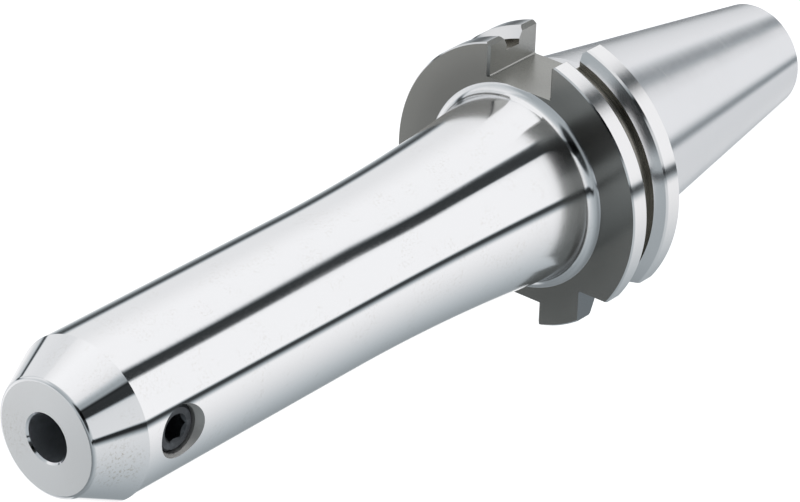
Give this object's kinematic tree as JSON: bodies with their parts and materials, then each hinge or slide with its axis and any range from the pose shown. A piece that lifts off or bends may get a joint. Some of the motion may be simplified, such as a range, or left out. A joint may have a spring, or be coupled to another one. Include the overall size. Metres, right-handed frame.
{
  "type": "side lock end mill holder",
  "caption": "Steep-taper tool holder with a grooved gripper flange, a long flared barrel and a side clamp screw that locks a cutter's flat in the nose bore.",
  "frame": {"origin": "centre of the gauge plane, where the 7:24 taper has its gauge diameter", "axes": "+Z along the spindle axis from the gauge plane to the nose; the clamp screw faces -Y; the deep drive keyway is on -X and the shallow one on +X"},
  "size_m": [0.061, 0.0636, 0.2284],
  "materials": {
    "polished_steel": "polished and ground hardened steel",
    "black_oxide_steel": "black oxide, satin"
  },
  "bodies": {
    "holder": {"holder_body": "polished_steel"},
    "screw": {"clamp_screw": "black_oxide_steel"}
  },
  "joints": [
    {"name": "clamp_travel", "type": "slide", "parent": "holder", "child": "screw", "axis": [0, 1, 0], "range_m": [-0.002, 0.002]}
  ]
}
